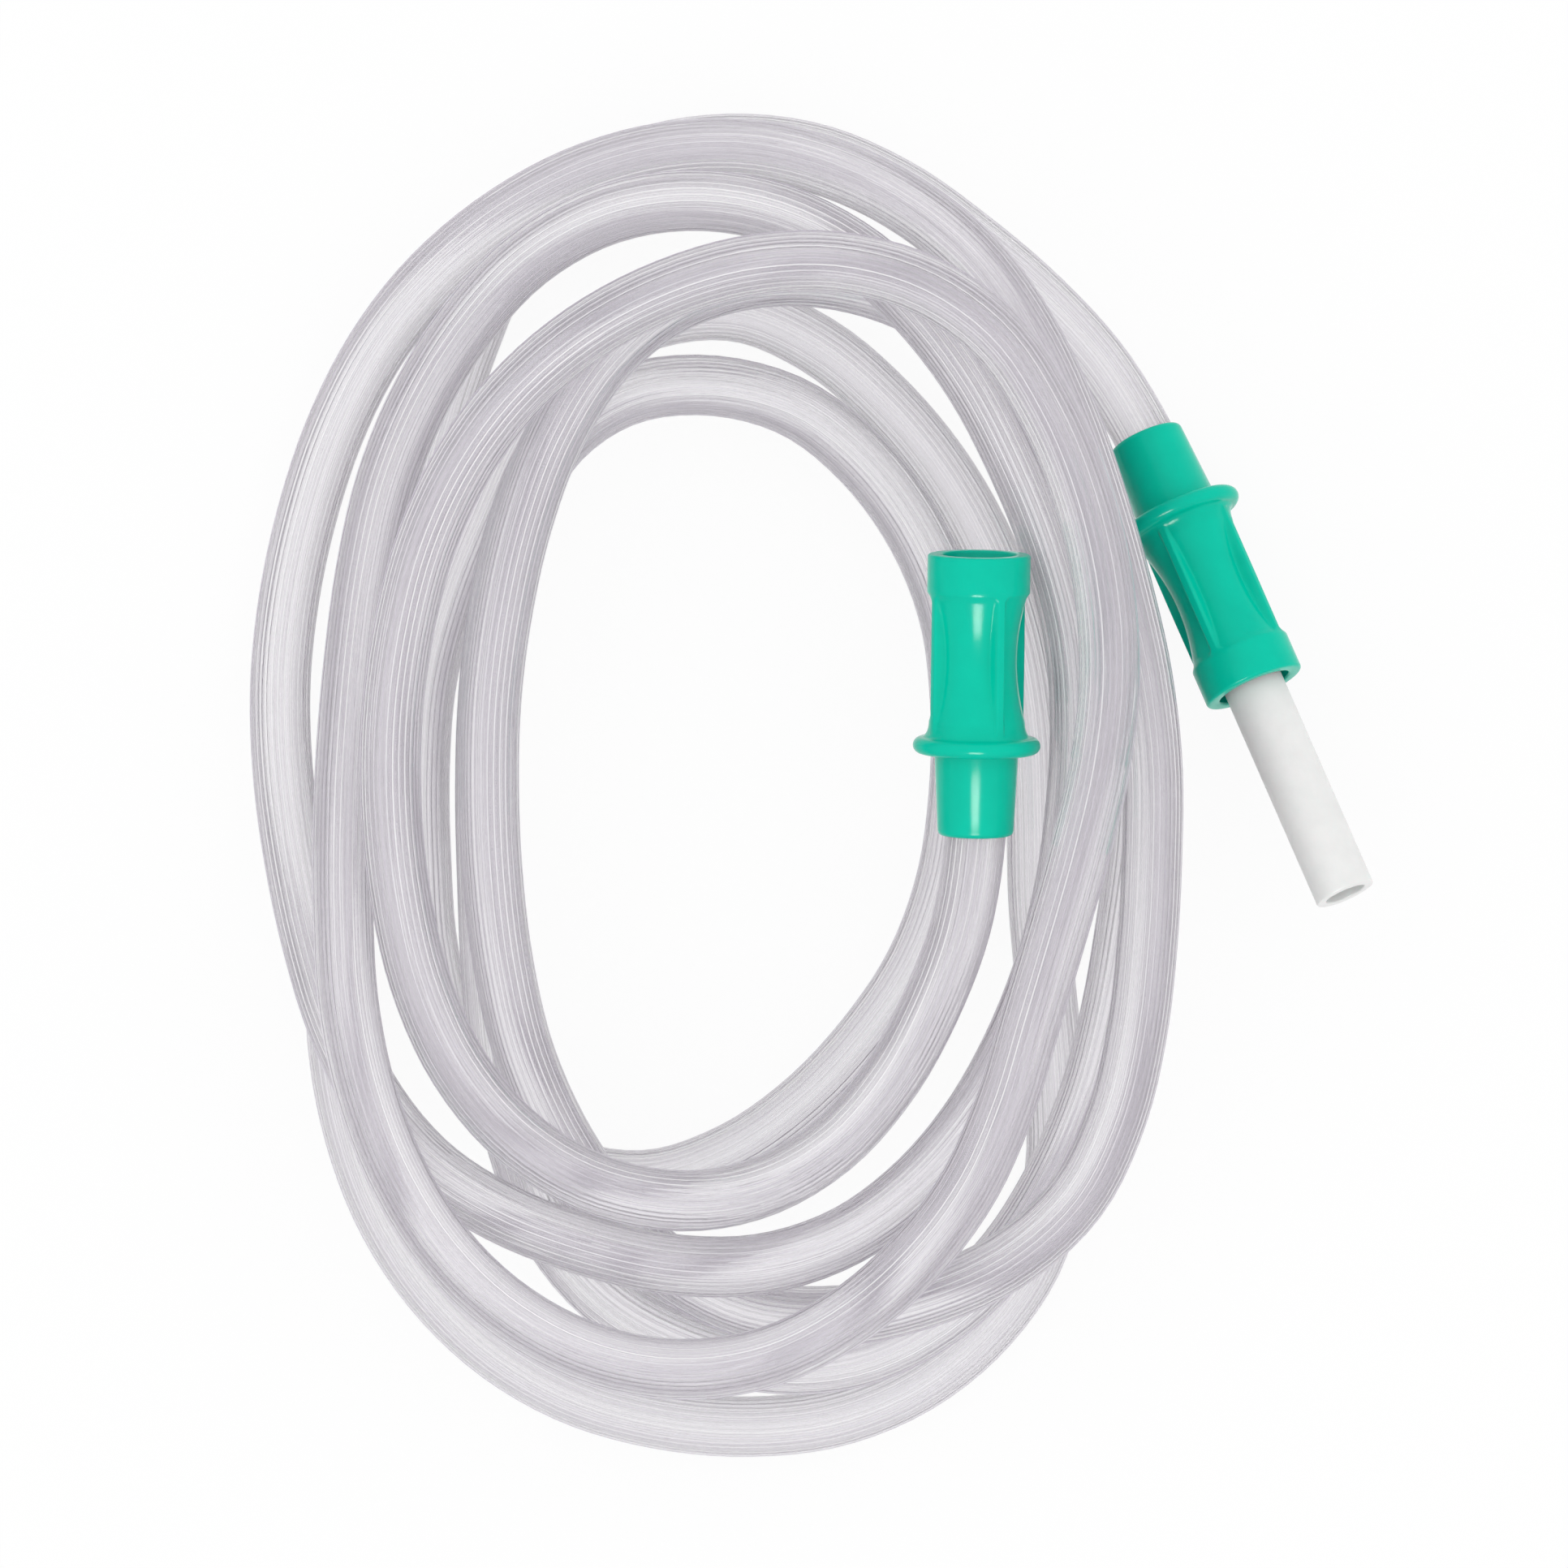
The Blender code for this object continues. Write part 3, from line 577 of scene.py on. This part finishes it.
def piece_from(bm: bmesh.types.BMesh, name: str, materials: list[bpy.types.Material]) -> bpy.types.Object:
    """Make an object of a finished bmesh, shaded smooth, and free the bmesh.

    Args:
        bm: The mesh, already where it belongs.
        name: The object's name.
        materials: The materials of its slots.

    Returns:
        The object, at the origin.
    """
    mesh = bpy.data.meshes.new(name)
    bm.to_mesh(mesh)
    bm.free()
    mesh.shade_smooth()
    for material in materials:
        mesh.materials.append(material)
    made = bpy.data.objects.new(name, mesh)
    bpy.context.scene.collection.objects.link(made)
    log.info("%s: %d faces", name, len(mesh.polygons))
    return made


@dataclass
class SuctionTube:
    """The clear tube: an outer face and a bore, both laid along the route and joined at the ends."""

    outer_diameter: float = 0.009525
    bore_diameter: float = 0.00635
    length: float = 3.08
    ring_spacing: float = 0.003
    span_points: int = 12
    weld_distance: float = 1e-6
    outer_sides: int = 48
    bore_sides: int = 32
    route: list[Point] = field(default_factory=lambda: LAID_ROUTE)

    def centre_line(self) -> np.ndarray:
        """Give the tube's centre line.

        Returns:
            Evenly spaced points on a smooth curve through the route.
        """
        knots = np.array(self.route)
        padded = np.vstack([2 * knots[0] - knots[1], knots, 2 * knots[-1] - knots[-2]])
        share = np.linspace(0.0, 1.0, self.span_points, endpoint=False)[:, None]
        spans = [
            0.5 * (2 * b + (c - a) * share + (2 * a - 5 * b + 4 * c - d) * share**2
                   + (3 * b - a - 3 * c + d) * share**3)
            for a, b, c, d in zip(padded, padded[1:], padded[2:], padded[3:])
        ]
        curve = np.vstack([*spans, knots[-1]])
        runs = np.concatenate([[0.0], np.cumsum(np.linalg.norm(np.diff(curve, axis=0), axis=1))])
        even = np.linspace(0.0, runs[-1], round(runs[-1] / self.ring_spacing) + 1)
        return np.column_stack([np.interp(even, runs, axis) for axis in curve.T])

    def carried_frames(self, line: np.ndarray) -> tuple[np.ndarray, np.ndarray]:
        """Carry a pair of cross directions along the line without twisting them, so that the ribs run straight.

        Args:
            line: The centre line.

        Returns:
            The two directions at each point.
        """
        tangents = np.gradient(line, axis=0)
        tangents /= np.linalg.norm(tangents, axis=1)[:, None]
        side = np.cross(tangents[0], (0.0, 0.0, 1.0))
        sides = []
        for tangent in tangents:
            side = side - tangent * side.dot(tangent)
            side = side / np.linalg.norm(side)
            sides.append(side)
        sides = np.array(sides)
        return sides, np.cross(tangents, sides)

    def roll(self, bm: bmesh.types.BMesh, line: np.ndarray, radius: float, sides: int, wall: TubeFace) -> None:
        """Roll a flat grid into one face of the wall round the line and add it to the mesh.

        Args:
            bm: The mesh to add to.
            line: The centre line.
            radius: The face's radius.
            sides: How many grid faces go round.
            wall: Which face of the wall it is.
        """
        verts_before, faces_before = len(bm.verts), len(bm.faces)
        bmesh.ops.create_grid(bm, x_segments=sides, y_segments=len(line) - 1, size=0.5, calc_uvs=True)
        bm.verts.ensure_lookup_table()
        bm.faces.ensure_lookup_table()
        side, up = self.carried_frames(line)
        space = bm.verts.layers.float_vector[TUBE_SPACE]
        across = bm.verts.layers.float_vector[TUBE_ACROSS]
        along = np.linspace(0.0, self.length, len(line))
        for vert in bm.verts[verts_before:]:
            angle = (vert.co.x + 0.5) * math.tau
            ring = round((vert.co.y + 0.5) * (len(line) - 1))
            cos, sin = math.cos(angle), math.sin(angle)
            vert.co = Vector(line[ring] + (side[ring] * cos + up[ring] * sin) * radius)
            vert[space] = Vector((cos * radius, sin * radius, along[ring]))
            vert[across] = Vector(up[ring] * cos - side[ring] * sin)
        uv = bm.loops.layers.uv[BAKE_MAP]
        start, end = TUBE_FINISHES[wall].strip
        for face in bm.faces[faces_before:]:
            face.material_index = wall.value
            for loop in face.loops:
                loop[uv].uv.x = start + (end - start) * loop[uv].uv.x

    def build(self) -> bpy.types.Object:
        """Returns:
            The tube.
        """
        line = self.centre_line()
        bm = bmesh.new()
        bm.loops.layers.uv.new(BAKE_MAP)
        bm.verts.layers.float_vector.new(TUBE_SPACE)
        bm.verts.layers.float_vector.new(TUBE_ACROSS)
        self.roll(bm, line, self.outer_diameter / 2, self.outer_sides, TubeFace.OUTER)
        self.roll(bm, line, self.bore_diameter / 2, self.bore_sides, TubeFace.BORE)
        bmesh.ops.remove_doubles(bm, verts=bm.verts, dist=self.weld_distance)
        open_edges = [edge for edge in bm.edges if edge.is_boundary]
        for end in (line[0], line[-1]):
            near = [e for e in open_edges if (e.verts[0].co - Vector(end)).length < self.outer_diameter]
            bmesh.ops.bridge_loops(bm, edges=near)
        bmesh.ops.recalc_face_normals(bm, faces=bm.faces)
        tube = piece_from(bm, "clear_suction_tube", [TUBE_FINISHES[wall].material() for wall in TubeFace])
        return tube


@dataclass
class Connector:
    """A female connector: a tapered tail that grips the tube, a flange, a waisted winged body and a collared mouth.

    Attributes:
        place: How it lies; its start is the tail's end.
        collar_hold: How far up the collar a ring keeps its side straight when shaded.
        collar_foot: The small chamfer at the collar's foot: in, then up.
        tail_root: The small chamfer where the tail meets the flange: out, then down.
        step_length: How far the collar's step takes from the core.
        wing_run_in: The share of the flare and of the collar's step that a wing runs into.
        wing_gather: How closely the mesh gathers at the wings, from 0 to 1.
        wing_crest: The wing's level top and its flank, as shares of half its thickness.
        core_rings: How many rings the core has.
        steps: How many steps make the full turn.
    """

    name: str
    place: Placement
    length: float = 0.044
    tail_length: float = 0.0128
    tail_end_radius: float = 0.00595
    tail_root_radius: float = 0.00655
    tail_edge_round: float = 0.0009
    flange_radius: float = 0.00995
    flange_thickness: float = 0.0026
    flare_length: float = 0.0024
    core_end_radius: float = 0.0075
    core_waist_radius: float = 0.0061
    collar_radius: float = 0.008025
    collar_length: float = 0.0061
    collar_round: float = 0.0005
    collar_hold: float = 0.0008
    collar_foot: tuple[float, float] = (0.00008, 0.0002)
    tail_root: tuple[float, float] = (0.00015, 0.0002)
    step_length: float = 0.0007
    wing_radius: float = 0.00795
    wing_thickness: float = 0.0014
    wing_count: int = 4
    wing_run_in: float = 0.8
    wing_gather: float = 0.55
    wing_crest: tuple[float, float] = (0.55, 0.95)
    mouth_radius: float = 0.0058
    lip_round: float = 0.0004
    seat_radius: float = 0.00505
    seat_depth: float = 0.015
    socket_radius: float = 0.0050625
    socket_depth: float = 0.0125
    passage_radius: float = 0.0032
    core_rings: int = 40
    steps: int = 256

    def core_ends(self) -> tuple[float, float]:
        """Give the heights where the waisted core starts and ends.

        Returns:
            The height at the flange's flare and the one at the collar's step.
        """
        low = self.tail_length + self.flange_thickness + self.flare_length
        return low, self.length - self.collar_length - self.step_length

    def core_radius(self, height: float) -> float:
        """Give the waisted core's radius: thin half way and wide at both ends.

        Args:
            height: How far up the axis.

        Returns:
            The radius there.
        """
        low, high = self.core_ends()
        share = 2.0 * (height - low) / (high - low) - 1.0
        return self.core_waist_radius + (self.core_end_radius - self.core_waist_radius) * share * share

    def outline(self) -> list[tuple[float, float]]:
        """Give the closed outline of the connector's wall.

        Returns:
            (radius, height) points, from the mouth down the outside and back up through the bore.
        """
        low, high = self.core_ends()
        rim = self.flange_thickness / 2
        edge, lip = self.collar_round, self.lip_round
        foot = self.length - self.collar_length
        foot_in, foot_up = self.collar_foot
        root_out, root_down = self.tail_root
        points = rounded(self.collar_radius - edge, self.length - edge, edge, 90, 0, count=6)
        points += [(self.collar_radius, foot + self.collar_hold), (self.collar_radius, foot + foot_up),
                   (self.collar_radius - foot_in, foot)]
        points += [(self.core_radius(z), z) for z in np.linspace(high, low, self.core_rings)]
        spread = self.flange_radius - rim - self.core_end_radius
        points += [(self.core_end_radius + spread * (1.0 - math.cos(a)), low - self.flare_length * math.sin(a))
                   for a in map(math.radians, range(10, 90, 10))]
        points += rounded(self.flange_radius - rim, self.tail_length + rim, rim, 90, -90, count=15)
        points += [(self.tail_root_radius + root_out, self.tail_length),
                   (self.tail_root_radius, self.tail_length - root_down)]
        tail_edge = self.tail_edge_round
        points += rounded(self.tail_end_radius - tail_edge, tail_edge, tail_edge, 0, -90, count=7)
        shoulder = self.length - self.seat_depth
        points += [(self.socket_radius, 0.0), (self.socket_radius, self.socket_depth),
                   (self.passage_radius, self.socket_depth), (self.passage_radius, shoulder),
                   (self.seat_radius, shoulder), (self.mouth_radius, self.length - lip)]
        points += rounded(self.mouth_radius + lip, self.length - lip, lip, 180, 90, count=5)[1:]
        return points

    def raise_wings(self, bm: bmesh.types.BMesh) -> None:
        """Push rounded wings out of the core, level with the core's wide ends.

        Args:
            bm: The spun connector.
        """
        low, high = self.core_ends()
        low, high = low - self.flare_length * self.wing_run_in, high + self.step_length * self.wing_run_in
        level, flank = (share * self.wing_thickness / 2 for share in self.wing_crest)
        pitch = math.tau / self.wing_count
        for vert in bm.verts:
            radius, height = math.hypot(vert.co.x, vert.co.y), vert.co.z
            if not low < height < high or radius < self.socket_radius:
                continue
            angle = math.atan2(vert.co.y, vert.co.x)
            angle -= self.wing_gather / self.wing_count * math.sin(self.wing_count * angle)
            off = abs((angle + pitch / 2) % pitch - pitch / 2) * radius
            share = min(max((off - level) / flank, 0.0), 1.0)
            crest = 1.0 - share * share * (3.0 - 2.0 * share)
            radius = max(radius, radius + (self.wing_radius - radius) * crest)
            vert.co.x, vert.co.y = radius * math.cos(angle), radius * math.sin(angle)

    def build(self) -> bpy.types.Object:
        """Build the connector where it lies.

        Returns:
            The connector.
        """
        bm = spun(self.outline(), self.steps)
        self.raise_wings(bm)
        bmesh.ops.transform(bm, matrix=self.place.matrix(), verts=bm.verts)
        return piece_from(bm, self.name, [TEAL.material()])


@dataclass
class StraightAdapter:
    """The plain frosted tube that is pushed into the mouth of one connector."""

    place: Placement
    seated_at: float = 0.0293
    length: float = 0.0508
    outer_radius: float = 0.00475
    inner_radius: float = 0.0032
    edge_round: float = 0.0003
    steps: int = 128

    def build(self) -> bpy.types.Object:
        """Build the adapter where it lies.

        Returns:
            The adapter.
        """
        edge, outer, inner = self.edge_round, self.outer_radius, self.inner_radius
        outline = rounded(outer - edge, self.length - edge, edge, 90, 0, count=5)
        outline += rounded(outer - edge, edge, edge, 0, -90, count=5)
        outline += rounded(inner + edge, edge, edge, -90, -180, count=4)
        outline += rounded(inner + edge, self.length - edge, edge, 180, 90, count=4)
        bm = spun(outline, self.steps)
        bmesh.ops.transform(bm, matrix=self.place.matrix(self.seated_at), verts=bm.verts)
        return piece_from(bm, "frosted_adapter", [FROSTED.material()])


@dataclass
class Studio:
    """The ground, the soft light and the camera, which looks straight down from far off.

    Attributes:
        aim: What the camera looks at.
        seen_width: How much the picture shows across, at the aim's height.
        key_angle: How far the lamp leans from straight above, in degrees.
        sky: The sky's brightness above.
        horizon: Its brightness at the ground.
        sky_from: How high the full sky starts, from 0 at the ground to 1 straight above.
        through_bounces: How many clear walls a lamp's light may pass.
        path_bounces: How many times other light may bend or bounce.
        moulded: The pieces that the lamp lights.
    """

    aim: Point = (-0.0042, 0.0002, 0.02)
    camera_height: float = 3.0
    seen_width: float = 0.2454
    sensor: float = 36.0
    ground_size: float = 6.0
    key_angle: float = 33.0
    key_distance: float = 0.7
    key_width: float = 0.24
    key_height: float = 0.24
    key_watts: float = 6.5
    sky: float = 1.05
    horizon: float = 0.88
    sky_from: float = 0.7
    through_bounces: int = 64
    path_bounces: int = 8
    moulded: list[bpy.types.Object] = field(default_factory=list)

    def camera(self) -> bpy.types.Object:
        """Place the camera over the coil and make it the scene's.

        Returns:
            The camera.
        """
        lens = bpy.data.cameras.new("overhead_camera")
        lens.sensor_width = self.sensor
        lens.lens = self.sensor * (self.camera_height - self.aim[2]) / self.seen_width
        lens.clip_end = 20.0
        camera = bpy.data.objects.new("overhead_camera", lens)
        camera.location = (self.aim[0], self.aim[1], self.camera_height)
        bpy.context.scene.collection.objects.link(camera)
        bpy.context.scene.camera = camera
        return camera

    def ground(self) -> bpy.types.Object:
        """Lay the ground that the coil rests on.

        Returns:
            The ground.
        """
        bm = bmesh.new()
        bmesh.ops.create_grid(bm, x_segments=2, y_segments=2, size=self.ground_size / 2)
        ground = piece_from(bm, "ground", [GROUND.material()])
        return ground

    def light(self) -> None:
        """Set an even sky, and one soft lamp that only the moulded pieces catch."""
        world = bpy.data.worlds.new("studio_sky")
        world.use_nodes = True
        nodes, links = world.node_tree.nodes, world.node_tree.links
        place = nodes.new("ShaderNodeTexCoord")
        parts = nodes.new("ShaderNodeSeparateXYZ")
        links.new(place.outputs["Generated"], parts.inputs[0])
        height = nodes.new("ShaderNodeMapRange")
        height.interpolation_type = "SMOOTHSTEP"
        height.inputs["From Min"].default_value = 0.0
        height.inputs["From Max"].default_value = self.sky_from
        height.inputs["To Min"].default_value = self.horizon
        height.inputs["To Max"].default_value = self.sky
        links.new(parts.outputs["Z"], height.inputs["Value"])
        links.new(height.outputs[0], nodes["Background"].inputs["Strength"])
        nodes["Background"].inputs["Color"].default_value = (1.0, 1.0, 1.0, 1.0)
        bpy.context.scene.world = world
        lamp = bpy.data.lights.new("soft_key", "AREA")
        lamp.shape = "RECTANGLE"
        lamp.size, lamp.size_y = self.key_width, self.key_height
        lamp.energy = self.key_watts
        key = bpy.data.objects.new("soft_key", lamp)
        angle = math.radians(self.key_angle)
        key.location = (0.0, -self.key_distance * math.sin(angle), self.key_distance * math.cos(angle))
        key.rotation_euler = (angle, 0.0, 0.0)
        bpy.context.scene.collection.objects.link(key)
        moulded = bpy.data.collections.new("moulded_pieces")
        for piece in self.moulded:
            moulded.objects.link(piece)
        key.light_linking.receiver_collection = moulded
        key.visible_diffuse = False

    def build(self) -> None:
        """Build the whole studio and set how the picture is drawn."""
        self.ground()
        self.light()
        scene = bpy.context.scene
        scene.view_settings.view_transform = "Standard"
        scene.cycles.transparent_max_bounces = self.through_bounces
        scene.cycles.max_bounces = self.path_bounces
        scene.cycles.transmission_bounces = self.path_bounces
        scene.cycles.diffuse_bounces = 1


def main() -> None:
    """Build the pieces in order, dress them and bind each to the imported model."""
    logging.basicConfig(level=logging.INFO, format="%(message)s")
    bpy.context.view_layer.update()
    studio = Studio()
    studio.camera()
    free = Connector("free_connector", FREE_PLACE).build()
    seated = Connector("adapter_connector", ADAPTER_PLACE).build()
    adapter = StraightAdapter(ADAPTER_PLACE).build()
    tube = SuctionTube().build()
    for piece, node, slot in (
        (tube, "suction_tube", "clear_tube"),
        (free, "free_end_connector", "teal_connector"),
        (seated, "adapter_end_connector", "teal_connector"),
        (adapter, "straight_adapter", "white_adapter"),
    ):
        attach(piece, "root")
        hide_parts(node)
        log.info("%s stands for %s", piece.name, node)
    studio.moulded = [free, seated, adapter]
    studio.build()


if __name__ == "__main__":
    main()
